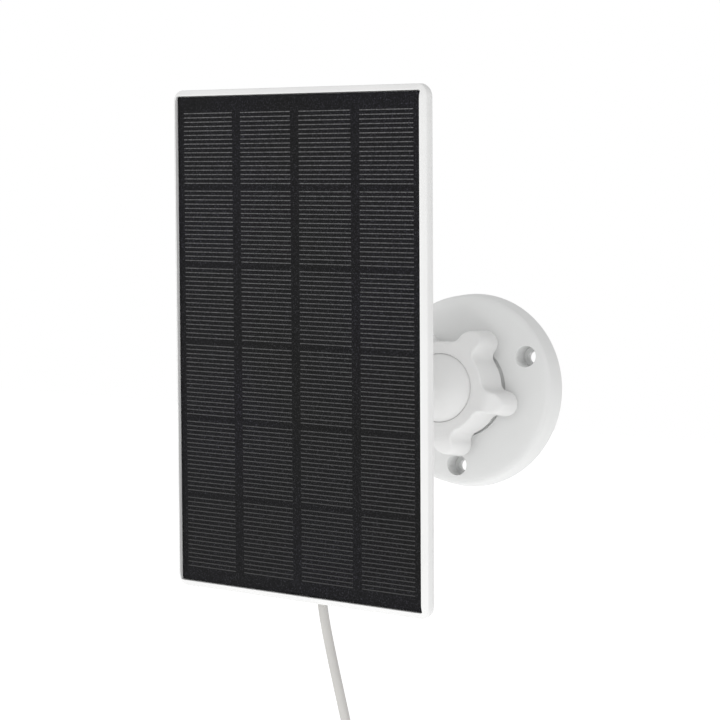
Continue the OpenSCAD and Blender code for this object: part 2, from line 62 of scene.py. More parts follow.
joints = {joint["name"]: joint for joint in frame["joints"]}
mm = 0.001

# the ball's centre, and the arm's direction from it to the panel
ball = Vector(joints["ball_swivel"]["pos_m"])
armAxis = Vector(joints["panel_turn"]["axis"]).normalized()
outward = Matrix.Rotation(math.radians(90), 4, "X")
armYaw = math.atan2(armAxis.x, -armAxis.y)
armPitch = math.asin(-armAxis.z)
# armFrame: x across the panel, y up it and z along the arm to the panel's front
armFrame = (Matrix.Translation(ball) @ Matrix.Rotation(armYaw, 4, "Z")
            @ Matrix.Rotation(armPitch, 4, "X") @ outward)


def nodeSpan(node, turn):
    # a CAD node's lowest and highest corner, measured along the axes of turn
    back = turn.inverted()
    places = [back @ vertex.co for vertex in cadNodes[node].data.vertices]
    low = Vector([min(place[axis] for place in places) for axis in range(3)])
    high = Vector([max(place[axis] for place in places) for axis in range(3)])
    return low, high


# modelling helpers

def deselectAll():
    bpy.ops.object.select_all(action="DESELECT")


def pick(piece):
    deselectAll()
    piece.select_set(True)
    bpy.context.view_layer.objects.active = piece


def selectFaces(piece, test):
    # leaves edit mode with only the faces selected that pass the test
    bpy.ops.object.mode_set(mode="EDIT")
    bpy.ops.mesh.select_mode(type="FACE")
    bpy.ops.mesh.select_all(action="DESELECT")
    bpy.ops.object.mode_set(mode="OBJECT")
    for face in piece.data.polygons:
        face.select = test(face.center, face.normal)
    bpy.ops.object.mode_set(mode="EDIT")


def selectEdges(piece, test):
    bpy.ops.object.mode_set(mode="EDIT")
    bpy.ops.mesh.select_mode(type="EDGE")
    bpy.ops.mesh.select_all(action="DESELECT")
    bpy.ops.object.mode_set(mode="OBJECT")
    places = [vertex.co for vertex in piece.data.vertices]
    for edge in piece.data.edges:
        edge.select = test(places[edge.vertices[0]], places[edge.vertices[1]])
    bpy.ops.object.mode_set(mode="EDIT")


def tidyMesh(piece):
    pick(piece)
    bpy.ops.object.mode_set(mode="EDIT")
    bpy.ops.mesh.select_all(action="SELECT")
    bpy.ops.mesh.remove_doubles(threshold=1e-6)
    bpy.ops.mesh.normals_make_consistent(inside=False)
    bpy.ops.object.mode_set(mode="OBJECT")


def startBlock(name, size, centre):
    deselectAll()
    bpy.ops.mesh.primitive_cube_add(size=1, location=centre)
    piece = bpy.context.object
    piece.name = name
    piece.scale = size
    bpy.ops.object.transform_apply(location=True, rotation=True, scale=True)
    return piece


def turned(name, steps, sides=96):
    # a solid turned on the z axis: each step is a radius and a height
    deselectAll()
    radius, height = steps[0]
    bpy.ops.mesh.primitive_circle_add(vertices=sides, radius=radius, fill_type="NGON",
                                      location=(0, 0, height))
    piece = bpy.context.object
    piece.name = name
    bpy.ops.object.transform_apply(location=True, rotation=True, scale=True)
    bpy.ops.object.mode_set(mode="EDIT")
    bpy.ops.mesh.select_mode(type="FACE")
    bpy.ops.mesh.select_all(action="SELECT")
    for nextRadius, nextHeight in steps[1:]:
        bpy.ops.mesh.extrude_region_move(TRANSFORM_OT_translate={"value": (0, 0, nextHeight - height)})
        grow = nextRadius / radius
        bpy.ops.transform.resize(value=(grow, grow, 1), center_override=(0, 0, nextHeight))
        radius, height = nextRadius, nextHeight
    bpy.ops.object.mode_set(mode="OBJECT")
    tidyMesh(piece)
    return piece


def turnedRing(name, steps, sides=96):
    # a ring turned on the z axis, closed back to its first step
    deselectAll()
    radius, height = steps[0]
    bpy.ops.mesh.primitive_circle_add(vertices=sides, radius=radius, fill_type="NOTHING",
                                      location=(0, 0, height))
    piece = bpy.context.object
    piece.name = name
    bpy.ops.object.transform_apply(location=True, rotation=True, scale=True)
    bpy.ops.object.mode_set(mode="EDIT")
    bpy.ops.mesh.select_mode(type="EDGE")
    bpy.ops.mesh.select_all(action="SELECT")
    for nextRadius, nextHeight in steps[1:] + steps[:1]:
        bpy.ops.mesh.extrude_region_move(TRANSFORM_OT_translate={"value": (0, 0, nextHeight - height)})
        grow = nextRadius / radius
        bpy.ops.transform.resize(value=(grow, grow, 1), center_override=(0, 0, nextHeight))
        radius, height = nextRadius, nextHeight
    bpy.ops.object.mode_set(mode="OBJECT")
    tidyMesh(piece)
    return piece


def arc(centreRadius, centreHeight, radius, start, end, count):
    # steps along an arc of a turned profile, angles in degrees
    steps = []
    for index in range(count + 1):
        angle = math.radians(start + (end - start) * index / count)
        steps.append((centreRadius + radius * math.cos(angle), centreHeight + radius * math.sin(angle)))
    return steps


def moveMesh(piece, turn):
    piece.data.transform(turn)
    return piece


def joined(name, parts):
    pick(parts[0])
    for part in parts:
        part.select_set(True)
    bpy.ops.object.join()
    piece = bpy.context.object
    piece.name = name
    return piece


def useModifier(piece, kind, **settings):
    pick(piece)
    modifier = piece.modifiers.new(kind.title(), kind)
    for key, value in settings.items():
        setattr(modifier, key, value)
    bpy.ops.object.modifier_apply(modifier=modifier.name)


def combine(piece, other, operation):
    useModifier(piece, "BOOLEAN", object=other, operation=operation, solver="EXACT")
    bpy.data.objects.remove(other)


def soften(piece, width, segments=3, angle=40):
    useModifier(piece, "BEVEL", width=width, segments=segments, limit_method="ANGLE",
                angle_limit=math.radians(angle), use_clamp_overlap=True)


def finishPiece(piece, turn, body, look, slot, *replaced, smooth=35):
    moveMesh(piece, turn)
    pick(piece)
    bpy.ops.object.shade_smooth_by_angle(angle=math.radians(smooth))
    piece.data.materials.clear()
    piece.data.materials.append(look)
    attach(piece, body)
    if replaced:
        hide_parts(*replaced)
    return piece


# camera: level with the mount, off to the panel's right, rolled a little
cameraPlace = {
    "at": (421.84 * mm, -870.93 * mm, 1.22 * mm),
    "azimuth": 28.3,
    "elevation": -0.4,
    "roll": 3.9,
    "lens": 135,
}


def makeCamera(place):
    azimuth = math.radians(place["azimuth"])
    elevation = math.radians(place["elevation"])
    look = Vector((-math.sin(azimuth) * math.cos(elevation), math.cos(azimuth) * math.cos(elevation),
                   -math.sin(elevation)))
    level = look.cross(Vector((0, 0, 1))).normalized()
    upright = level.cross(look)
    roll = math.radians(place["roll"])
    right = math.cos(roll) * level + math.sin(roll) * upright
    up = right.cross(look)
    data = bpy.data.cameras.new("camera")
    data.lens = place["lens"]
    data.sensor_width = 36
    data.clip_end = 50
    camera = bpy.data.objects.new("camera", data)
    bpy.context.scene.collection.objects.link(camera)
    axes = Matrix((right, up, -look)).transposed().to_4x4()
    camera.matrix_world = Matrix.Translation(Vector(place["at"])) @ axes
    bpy.context.scene.camera = camera


makeCamera(cameraPlace)
print("camera placed")


# looks

def newLook(name):
    look = bpy.data.materials.new(name)
    look.use_nodes = True
    tree = look.node_tree
    shader = tree.nodes["Principled BSDF"]
    place = tree.nodes.new("ShaderNodeTexCoord").outputs["Object"]
    return look, tree, shader, place


def addNoise(tree, place, scale, detail=3, roughness=0.5):
    noise = tree.nodes.new("ShaderNodeTexNoise")
    noise.inputs["Scale"].default_value = scale
    noise.inputs["Detail"].default_value = detail
    noise.inputs["Roughness"].default_value = roughness
    tree.links.new(place, noise.inputs["Vector"])
    return noise.outputs["Fac"]


def addRamp(tree, value, stops):
    ramp = tree.nodes.new("ShaderNodeValToRGB")
    while len(ramp.color_ramp.elements) < len(stops):
        ramp.color_ramp.elements.new(0.5)
    for element, (position, colour) in zip(ramp.color_ramp.elements, stops):
        element.position = position
        element.color = (*colour, 1)
    tree.links.new(value, ramp.inputs["Fac"])
    return ramp.outputs["Color"]


def addRange(tree, value, low, high):
    spread = tree.nodes.new("ShaderNodeMapRange")
    spread.inputs["From Min"].default_value = 0.3
    spread.inputs["From Max"].default_value = 0.7
    spread.inputs["To Min"].default_value = low
    spread.inputs["To Max"].default_value = high
    tree.links.new(value, spread.inputs["Value"])
    return spread.outputs["Result"]


def addBump(tree, shader, height, distance, strength=1.0):
    bump = tree.nodes.new("ShaderNodeBump")
    bump.inputs["Strength"].default_value = strength
    bump.inputs["Distance"].default_value = distance
    tree.links.new(height, bump.inputs["Height"])
    tree.links.new(bump.outputs["Normal"], shader.inputs["Normal"])


def plasticLook(name, colour, roughness, grain=1800, depth=0.00001, shade=0.97, specular=0.5):
    # moulded plastic: faint cloudiness in the colour and a fine spark-eroded grain
    look, tree, shader, place = newLook(name)
    darker = [channel * shade for channel in colour]
    cloud = addNoise(tree, place, 45, 4)
    tree.links.new(addRamp(tree, cloud, [(0.35, darker), (0.65, colour)]), shader.inputs["Base Color"])
    grainNoise = addNoise(tree, place, grain, 2)
    tree.links.new(addRange(tree, grainNoise, roughness - 0.04, roughness + 0.04), shader.inputs["Roughness"])
    addBump(tree, shader, grainNoise, depth)
    shader.inputs["Specular IOR Level"].default_value = specular
    return look


def metalLook(name, colour, roughness, scale=900):
    look, tree, shader, place = newLook(name)
    darker = [channel * 0.85 for channel in colour]
    scratch = addNoise(tree, place, scale, 3)
    tree.links.new(addRamp(tree, scratch, [(0.35, darker), (0.65, colour)]), shader.inputs["Base Color"])
    tree.links.new(addRange(tree, scratch, roughness - 0.07, roughness + 0.07), shader.inputs["Roughness"])
    shader.inputs["Metallic"].default_value = 1
    addBump(tree, shader, scratch, 0.000004)
    return look


def sheetLook():
    # clear textured resin over black cells: near-black with fine pale specks and a blue cast in the middle
    look, tree, shader, place = newLook("textured_solar_sheet")
    speck = addNoise(tree, place, 2100, 3, 0.8)
    base = addRamp(tree, speck, [(0.4, (0.0015, 0.0015, 0.0016)), (0.55, (0.006, 0.006, 0.006)),
                                 (0.72, (0.06, 0.06, 0.06))])
    cloud = addNoise(tree, place, 14, 2)
    tint = addRamp(tree, cloud, [(0.35, (0.85, 0.85, 0.88)), (0.7, (1.0, 0.97, 1.35))])
    mix = tree.nodes.new("ShaderNodeMix")
    mix.data_type = "RGBA"
    mix.blend_type = "MULTIPLY"
    mix.inputs["Factor"].default_value = 1
    tree.links.new(base, mix.inputs["A"])
    tree.links.new(tint, mix.inputs["B"])
    tree.links.new(mix.outputs["Result"], shader.inputs["Base Color"])
    tree.links.new(addRange(tree, speck, 0.5, 0.66), shader.inputs["Roughness"])
    shader.inputs["Specular IOR Level"].default_value = 0.1
    addBump(tree, shader, speck, 0.00003)
    return look


def fingerLook():
    # printed silver under textured resin: the brightness breaks up along each line, and a painted reflection
    # fades it darker down the sheet
    look, tree, shader, place = newLook("printed_silver")
    breakUp = addNoise(tree, place, 1500, 2, 0.7)
    silver = addRamp(tree, breakUp, [(0.35, (0.02, 0.02, 0.021)), (0.66, (0.14, 0.14, 0.143))])
    height = tree.nodes.new("ShaderNodeSeparateXYZ")
    tree.links.new(place, height.inputs["Vector"])
    # painted reflection: the silver's colour is darkened towards the bottom of the sheet in place of a
    # softbox's reflection fading down it
    paintedReflectionFade = tree.nodes.new("ShaderNodeMapRange")
    tree.links.new(height.outputs["Z"], paintedReflectionFade.inputs["Value"])
    paintedReflectionFade.inputs["From Min"].default_value = -60 * mm
    paintedReflectionFade.inputs["From Max"].default_value = 90 * mm
    paintedReflectionFade.inputs["To Min"].default_value = 0.22
    paintedReflectionFade.inputs["To Max"].default_value = 0.95
    mix = tree.nodes.new("ShaderNodeMix")
    mix.data_type = "RGBA"
    mix.blend_type = "MULTIPLY"
    mix.inputs["Factor"].default_value = 1
    tree.links.new(silver, mix.inputs["A"])
    tree.links.new(paintedReflectionFade.outputs["Result"], mix.inputs["B"])
    tree.links.new(mix.outputs["Result"], shader.inputs["Base Color"])
    tree.links.new(addRange(tree, breakUp, 0.4, 0.6), shader.inputs["Roughness"])
    return look


looks = {
    "caseWhite": plasticLook("white_case_plastic", (0.81, 0.81, 0.805), 0.38),
    "plateWhite": plasticLook("matt_white_plastic", (0.78, 0.785, 0.78), 0.5, depth=0.000014),
    "nutWhite": plasticLook("satin_white_plastic", (0.8, 0.8, 0.795), 0.42),
    "seatGrey": plasticLook("grey_bearing_plastic", (0.12, 0.12, 0.125), 0.55),
    "tape": plasticLook("black_foam_tape", (0.02, 0.02, 0.02), 0.85, grain=900, depth=0.00005),
    "blackBoard": plasticLook("black_board", (0.012, 0.012, 0.014), 0.6),
    "rubber": plasticLook("black_rubber", (0.02, 0.02, 0.021), 0.75, grain=1200, depth=0.00002),
    "cord": plasticLook("pale_grey_sheath", (0.56, 0.55, 0.53), 0.5, grain=1400, depth=0.000012, shade=0.95),
    "tie": plasticLook("soft_grey_strap", (0.2, 0.2, 0.205), 0.8, grain=1000, depth=0.00004),
    "chip": plasticLook("black_moulding", (0.018, 0.018, 0.018), 0.5),
    "board": plasticLook("green_board", (0.012, 0.11, 0.04), 0.35),
    "capacitor": plasticLook("tan_ceramic", (0.5, 0.37, 0.22), 0.5),
    "steel": metalLook("bright_steel", (0.62, 0.63, 0.64), 0.3),
    "brass": metalLook("turned_brass", (0.72, 0.53, 0.25), 0.34),
    "tin": metalLook("tinned_copper", (0.66, 0.66, 0.65), 0.36),
    "wire": plasticLook("red_and_black_wire", (0.3, 0.02, 0.02), 0.5),
    "sheet": sheetLook(),
    "finger": fingerLook(),
}
print("looks made")

# cord: the stretch that hangs, the coil that holds the spare length and the free end with its plug
cordShape = {
    "diameter": 3.3 * mm,
    "length": 3.0,
    "coilCentre": (-1, -74.25, -166.5),
    "coilMeanRadius": 20,
    "coilLayers": 4,
    "coilColumns": 6,
    "lastLayerTurns": 5.08,
    "pointsPerTurn": 16,
    "startAngle": 68.9,
}
leadPoints = [
    (-13.9, -77.8, -66.4), (-13.8, -77.2, -72.3), (-13.5, -77, -75.1), (-12.9, -76.8, -78.2),
    (-11.9, -76.5, -82.5), (-10.3, -76.1, -88.5), (-8.6, -75.7, -94.5), (-6.9, -75.2, -100.5),
    (-5.3, -74.5, -106.5), (-3.8, -73.6, -112.5), (-2.5, -72.5, -118.5), (-1.5, -71.4, -124),
    (-1.1, -70.2, -129), (-0.5, -69, -134), (1.1, -67.8, -138), (4, -66.7, -141.2), (8, -66, -143.2),
]
tailPoints = [
    (10.5, -65.7, -156.9), (12.4, -65.2, -159.8), (13.6, -64.2, -163.2), (14.1, -63.2, -167),
    (14.2, -62.5, -171.5), (14.2, -62.1, -176.5), (14.2, -62, -182), (14.2, -62, -187.5),
    (14.2, -62, -193), (14.2, -62, -198),
]


def coilPoints(shape):
    # turns wound clockwise in layers: a layer runs across the coil, then its last turn steps in to the next
    diameter = shape["diameter"] / mm
    centreX, centreY, centreZ = shape["coilCentre"]
    across = (shape["coilColumns"] - 1) / 2 * diameter
    count = shape["pointsPerTurn"]
    angle = shape["startAngle"]
    points = []
    for layer in range(shape["coilLayers"]):
        radius = shape["coilMeanRadius"] + ((shape["coilLayers"] - 1) / 2 - layer) * diameter
        last = layer == shape["coilLayers"] - 1
        way = -1 if layer % 2 == 0 else 1
        turns = shape["lastLayerTurns"] if last else shape["coilColumns"]
        for index in range(1, round(turns * count) + 1):
            turn = index / count
            step = 0 if last else max(0, turn - (shape["coilColumns"] - 1))
            side = -way * across + way * diameter * min(turn, shape["coilColumns"] - 1 if not last else turns)
            here = radius - diameter * (2 * step - step * step)
            spin = math.radians(angle - 360 * turn)
            points.append((centreX + here * math.cos(spin), centreY + side, centreZ + here * math.sin(spin)))
        angle -= 360 * turns
    return points


def makeCord(shape):
    points = leadPoints + coilPoints(shape)[:-1] + tailPoints
    data = bpy.data.curves.new("charging_cord", "CURVE")
    data.dimensions = "3D"
    data.bevel_depth = shape["diameter"] / 2
    data.bevel_resolution = 4
    data.resolution_u = 3
    data.use_fill_caps = True
    spline = data.splines.new("BEZIER")
    spline.bezier_points.add(len(points) - 1)
    for handle, point in zip(spline.bezier_points, points):
        handle.co = Vector(point) * mm
        handle.handle_left_type = "AUTO"
        handle.handle_right_type = "AUTO"
    cord = bpy.data.objects.new("charging_cord", data)
    bpy.context.scene.collection.objects.link(cord)
    data.materials.append(looks["cord"])
    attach(cord, "panel")
    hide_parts("cord_lead", "cord_coil", "cord_tail")
    return cord


cord = makeCord(cordShape)
print("cord routed")

# plug: boot with ribs, grip with grooves across its sides, tongue in a drawn steel shell
plugShape = {"at": (14.2 * mm, -62 * mm), "ribs": 3, "ribDepth": 0.25 * mm, "edge": 0.5 * mm, "gripRidges": 4}
plugLow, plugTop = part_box("plug_grip")
plugTurn = (Matrix.Translation((plugShape["at"][0], plugShape["at"][1], plugTop.z))
            @ Matrix.Rotation(math.pi, 4, "X"))


def makePlugGrip(shape):
    half = (plugTop - plugLow) / 2
    bootLength = 7 * mm
    cordRadius = cordShape["diameter"] / 2
    steps = [(cordRadius + 0.25 * mm, 0)]
    for rib in range(shape["ribs"]):
        start = bootLength * (0.15 + 0.25 * rib)
        wide = cordRadius + 0.5 * mm + (half.y - cordRadius - 0.5 * mm) * start / bootLength
        steps += [(wide, start), (wide, start + 0.9 * mm), (wide - shape["ribDepth"], start + 1 * mm),
                  (wide - shape["ribDepth"], start + 1.6 * mm)]
    steps.append((half.y - 0.2 * mm, bootLength + 0.1 * mm))
    boot = turned("plug_boot", steps, 48)
    grip = startBlock("plug_grip_body", (2 * half.x, 2 * half.y, plugTop.z - plugLow.z - bootLength),
                      (0, 0, (bootLength + plugTop.z - plugLow.z) / 2))
    pick(grip)
    selectEdges(grip, lambda a, b: abs(a.z - b.z) > 5 * mm)
    bpy.ops.mesh.bevel(offset=half.y * 0.8, segments=8, profile=0.5)
    bpy.ops.object.mode_set(mode="OBJECT")
    soften(grip, shape["edge"], 3, 60)
    ridges = []
    for side in (-1, 1):
        for index in range(shape["gripRidges"]):
            groove = startBlock("groove", (half.x, 0.5 * mm, 0.6 * mm),
                                (0, side * half.y, bootLength + (6 + 1.8 * index) * mm))
            ridges.append(groove)
    combine(grip, joined("grooves", ridges), "DIFFERENCE")
    combine(grip, boot, "UNION")
    return finishPiece(grip, plugTurn, "panel", looks["caseWhite"], "plug_plastic", "plug_grip")


plugGrip = makePlugGrip(plugShape)
plugGrip.name = "moulded_plug"
print("plug made")

# wall plate: domed cover with screw wells, hollow behind, and the collar that the nut screws onto
plateShape = {
    "well": 3.6 * mm,
    "wellFloor": 2.4 * mm,
    "wellEdge": 0.35 * mm,
    "hole": 2.1 * mm,
    "holeCircle": 27 * mm,
    "holeAngles": (29, 149, 269),
    "rimHeight": 7 * mm,
    "rimDraft": 0.9 * mm,
    "faceOut": (32.4 * mm, 8.2 * mm),
    "faceIn": (17.02 * mm, 10.1 * mm), "relief": 1.5 * mm,
    "wall": 2.2 * mm,
    "collar": 14.42 * mm,
    "collarTop": 20 * mm,
    "boreWide": 13.62 * mm,
    "boreSeat": 12.68 * mm,
    "seatTop": 15.47 * mm,
    "seatFloor": 6.44 * mm,
    "boss": 5.2 * mm,
    "rib": 1.6 * mm,
}


def makeWallPlate(shape):
    plateHigh = nodeSpan("wall_plate", outward)[1]
    outer = plateHigh.x
    rimTop = outer - shape["rimDraft"]
    faceRadius, faceHeight = shape["faceOut"]
    hubRadius, hubHeight = shape["faceIn"]
    steps = [(outer - 0.25 * mm, 0), (outer, 0.25 * mm), (rimTop + 0.12 * mm, shape["rimHeight"] - 0.6 * mm),
             (rimTop - 0.08 * mm, shape["rimHeight"] + 0.1 * mm),
             (rimTop - 0.45 * mm, shape["rimHeight"] + 0.7 * mm),
             (faceRadius, faceHeight), (faceRadius - 1 * mm, faceHeight + 0.35 * mm)]
    for index in range(1, 9):
        part = index / 8
        radius = faceRadius - 1 * mm + (hubRadius - faceRadius + 1 * mm) * part
        steps.append((radius, faceHeight + 0.35 * mm + (hubHeight - faceHeight - 0.35 * mm) * part ** 0.85))
    # relief round the collar's root, dark behind the nut's valleys
    root = hubHeight - shape["relief"]
    steps += [(hubRadius - 0.3 * mm, hubHeight - 0.3 * mm), (hubRadius - 0.5 * mm, root),
              (shape["collar"] + 0.4 * mm, root),
              (shape["collar"], root + 0.4 * mm)]
    thread = hubHeight + 1.2 * mm
    while thread < shape["collarTop"] - 2 * mm:
        steps += [(shape["collar"], thread), (shape["collar"] - 0.35 * mm, thread + 0.5 * mm),
                  (shape["collar"] - 0.35 * mm, thread + 0.9 * mm), (shape["collar"], thread + 1.4 * mm)]
        thread += 2 * mm
    steps += [(shape["collar"], shape["collarTop"] - 0.3 * mm),
              (shape["collar"] - 0.3 * mm, shape["collarTop"])]
    plate = turned("wall_plate_cover", steps, 128)
    hollow = turnedRing("hollow", [
        (shape["collar"], -1 * mm), (outer - shape["wall"], -1 * mm),
        (faceRadius - shape["wall"], faceHeight - shape["wall"]),
        (hubRadius, hubHeight - shape["wall"]), (shape["collar"], hubHeight - shape["wall"])])
    for angle in shape["holeAngles"]:
        boss = turned("boss", [(shape["boss"], -2 * mm), (shape["boss"], hubHeight)], 48)
        moveMesh(boss, Matrix.Rotation(math.radians(angle), 4, "Z")
                 @ Matrix.Translation((shape["holeCircle"], 0, 0)))
        combine(hollow, boss, "DIFFERENCE")
        rib = startBlock("rib", (outer - shape["collar"] + 2 * mm, shape["rib"], 2 * hubHeight),
                         ((outer + shape["collar"]) / 2, 0, 0))
        moveMesh(rib, Matrix.Rotation(math.radians(angle + 60), 4, "Z"))
        combine(hollow, rib, "DIFFERENCE")
    combine(plate, hollow, "DIFFERENCE")
    bore = turned("bore", [(shape["boreSeat"], shape["seatFloor"]), (shape["boreSeat"], shape["seatTop"]),
                           (shape["boreWide"], shape["seatTop"] + 0.01 * mm),
                           (shape["boreWide"], shape["collarTop"] + 1 * mm)])
    combine(plate, bore, "DIFFERENCE")
    for angle in shape["holeAngles"]:
        faceAt = (faceHeight + (faceRadius - shape["holeCircle"]) / (faceRadius - hubRadius)
                  * (hubHeight - faceHeight))
        flare = shape["wellEdge"]
        well = turned("well", [(shape["hole"], -1 * mm), (shape["hole"], shape["wellFloor"]),
                               (shape["well"], shape["wellFloor"] + 0.01 * mm),
                               (shape["well"], faceAt - 0.3 * mm),
                               (shape["well"] + 0.4 * flare, faceAt + 0.1 * mm),
                               (shape["well"] + 2.6 * flare, faceAt + 1.6 * mm)], 64)
        moveMesh(well, Matrix.Rotation(math.radians(angle), 4, "Z")
                 @ Matrix.Translation((shape["holeCircle"], 0, 0)))
        combine(plate, well, "DIFFERENCE")
    return finishPiece(plate, outward, "base", looks["plateWhite"], "wall_plastic", "wall_plate", smooth=30)


makeWallPlate(plateShape)
print("wall plate made")

# star nut: five round lobes that fall back to their ends, a clean circle round the ball
nutShape = {
    "lobes": 5,
    "phase": -12,
    "valley": 16.9 * mm,
    "lobeOut": 6.9 * mm,
    "lobeWide": 9 * mm,
    "hollow": 3 * mm,
    "fall": 4.2 * mm,
    "fallPower": 1.4,
    "edge": 0.8 * mm,
    "draft": 0.7 * mm,
    "backEdge": 0.5 * mm,
    "bore": 14.5 * mm,
    "lip": 1.9 * mm,
    "ballGap": 0.25 * mm,
    "sides": 320,
}


def starOutline(shape):
    # the lobes' outline as evenly spaced points, anticlockwise from the first lobe's tip
    tip = shape["lobeWide"] / 2
    lobeMid = shape["valley"] + shape["lobeOut"] - tip
    hollowMid = shape["valley"] + shape["hollow"]
    turn = math.acos((lobeMid ** 2 + hollowMid ** 2 - (tip + shape["hollow"]) ** 2)
                     / (2 * lobeMid * hollowMid))
    hollowX, hollowY = hollowMid * math.cos(turn), hollowMid * math.sin(turn)
    lean = math.atan2(hollowY, lobeMid - hollowX)
    pitch = 2 * math.pi / shape["lobes"]
    arcs = [(lobeMid, 0, tip, 0, math.pi - lean), (hollowX, hollowY, shape["hollow"], -lean, turn - math.pi),
            (0, 0, shape["valley"], turn, pitch - turn)]
    half = []
    for centreX, centreY, radius, start, end in arcs:
        for index in range(40):
            angle = start + (end - start) * index / 40
            half.append(Vector((centreX + radius * math.cos(angle), centreY + radius * math.sin(angle))))
    # the far flank mirrors the near one about the valley's middle
    flip = [Vector((point.x, -point.y)) for point in reversed(half[1:80])]
    back = Matrix.Rotation(pitch, 2)
    sector = half + [back @ point for point in flip]
    dense = []
    for lobe in range(shape["lobes"]):
        spin = Matrix.Rotation(math.radians(shape["phase"]) + lobe * pitch, 2)
        dense += [spin @ point for point in sector]
    dense.append(dense[0])
    lengths = [0]
    for before, after in zip(dense, dense[1:]):
        lengths.append(lengths[-1] + (after - before).length)
    points = []
    place = 0
    for index in range(shape["sides"]):
        target = lengths[-1] * index / shape["sides"]
        while lengths[place + 1] < target:
            place += 1
        share = (target - lengths[place]) / max(1e-9, lengths[place + 1] - lengths[place])
        points.append(dense[place].lerp(dense[place + 1], share))
    return points


def makeStarNut(shape):
    low, high = nodeSpan("star_nut", outward)
    ballHeight = -ball.y
    ballRadius = nodeSpan("ball_arm", armFrame)[1].x
    mouth = math.sqrt((ballRadius + shape["ballGap"]) ** 2 - (high.z - ballHeight) ** 2)
    inside = math.sqrt((ballRadius + shape["ballGap"]) ** 2 - (high.z - shape["lip"] - ballHeight) ** 2)
    outline = starOutline(shape)
    count = shape["sides"]
    fallStart = shape["valley"] + 0.8 * mm
    tipRadius = shape["valley"] + shape["lobeOut"]
    edge = shape["edge"]
    # nominal rings: the side and its soft edges, then the face in shares of the way to the mouth
    side = 40 * mm
    sideSteps = [(0.5 * shape["backEdge"], low.z),
                 (0.15 * shape["backEdge"], low.z + 0.15 * shape["backEdge"]),
                 (0, low.z + shape["backEdge"])]
    for index in range(7):
        angle = math.radians(90 * index / 6)
        sideSteps.append((edge * (1 - math.cos(angle)), high.z - edge * (1 - math.sin(angle))))
    shares = [0.08, 0.18, 0.3, 0.45, 0.65, 0.85]
    faceSteps = [(30 * mm - index * mm, high.z) for index in range(len(shares))]
    steps = [(shape["bore"], low.z)] + [(side - inward, height) for inward, height in sideSteps] + faceSteps
    steps += [(mouth + 0.35 * mm, high.z), (mouth + 0.08 * mm, high.z - 0.1 * mm), (mouth, high.z - 0.3 * mm),
              (inside, high.z - shape["lip"]), (shape["bore"], high.z - shape["lip"])]
    nut = turnedRing("star_clamp_nut", steps, count)
    # the nominal rings take the lobes' outline, each point by its place in the ring
    for vertex in nut.data.vertices:
        radius = math.hypot(vertex.co.x, vertex.co.y)
        if radius < 24.5 * mm:
            continue
        angle = math.atan2(vertex.co.y, vertex.co.x) - math.radians(shape["phase"])
        index = round(angle / (2 * math.pi) * count) % count
        point = outline[index]
        along = outline[(index + 1) % count] - outline[index - 1]
        normal = Vector((along.y, -along.x)).normalized()
        drawn = shape["draft"] * (vertex.co.z - low.z) / (high.z - low.z)
        if radius > 35 * mm:
            flat = point - normal * (side - radius + drawn)
        else:
            rim = point - normal * (edge + drawn)
            share = shares[round((30 * mm - radius) / mm)]
            spot = Vector((vertex.co.x, vertex.co.y)).normalized() * (mouth + 0.35 * mm)
            flat = rim.lerp(spot, share)
        beyond = max(0, flat.length - fallStart) / (tipRadius - fallStart)
        vertex.co.x, vertex.co.y = flat
        if vertex.co.z > high.z - edge - 0.01 * mm:
            vertex.co.z -= shape["fall"] * beyond ** shape["fallPower"]
    tidyMesh(nut)
    return finishPiece(nut, outward, "star_nut", looks["nutWhite"], "nut_plastic", "star_nut", smooth=60)


makeStarNut(nutShape)
print("star nut made")

# arm: ball, neck and shoulder in one moulding
armShape = {"neck": 4.2 * mm, "neckEnd": 19.4 * mm, "flareStart": 44 * mm, "flare": 5.3 * mm,
            "shoulder": 7.5 * mm, "shoulderLength": 4 * mm, "edge": 0.6 * mm,
            "studHole": 3.175 * mm, "studDepth": 14 * mm}


def makeArm(shape):
    high = nodeSpan("ball_arm", armFrame)[1]
    radius = high.x
    start = math.degrees(math.asin(min(1, (shape["neck"] + 1 * mm) / radius)))
    steps = arc(0, 0, radius, -89.5, 90 - start, 40)
    joinHeight = steps[-1][1]
    steps += [(shape["neck"] + 0.35 * mm, joinHeight + 0.45 * mm),
              (shape["neck"] + 0.08 * mm, joinHeight + 1 * mm),
              (shape["neck"], joinHeight + 1.8 * mm), (shape["neck"], shape["neckEnd"])]
    steps += [(shape["flare"], shape["flareStart"]),
              (shape["shoulder"] - 0.4 * mm, high.z - shape["shoulderLength"] - 0.2 * mm),
              (shape["shoulder"], high.z - shape["shoulderLength"] + 0.4 * mm),
              (shape["shoulder"], high.z - shape["edge"])]
    steps += [(shape["shoulder"] - shape["edge"] * 0.3, high.z - shape["edge"] * 0.3),
              (shape["shoulder"] - shape["edge"], high.z)]
    arm = turned("ball_and_arm", steps, 96)
    hole = turned("hole", [(shape["studHole"], high.z - shape["studDepth"]),
                           (shape["studHole"], high.z + 1 * mm)], 48)
    combine(arm, hole, "DIFFERENCE")
    return finishPiece(arm, armFrame, "arm", looks["nutWhite"], "arm_plastic", "ball_arm", smooth=40)


makeArm(armShape)


def makeStud():
    low, high = nodeSpan("arm_stud", armFrame)
    radius = high.x
    steps = [(radius - 0.4 * mm, low.z)]
    place = low.z + 0.4 * mm
    while place < high.z - 1.4 * mm:
        steps += [(radius, place), (radius - 0.5 * mm, place + 0.55 * mm)]
        place += 1.27 * mm
    steps += [(radius, place), (radius - 0.7 * mm, high.z)]
    stud = turned("threaded_stud", steps, 48)
    return finishPiece(stud, armFrame, "arm", looks["steel"], "steel", "arm_stud", smooth=20)


makeStud()
print("arm made")

# lock nut: hand nut with finger scallops
lockShape = {"radius": 11 * mm, "scallops": 12, "scallopRadius": 1.8 * mm, "scallopOut": 0.9 * mm,
             "edge": 0.5 * mm, "bore": 5.375 * mm}


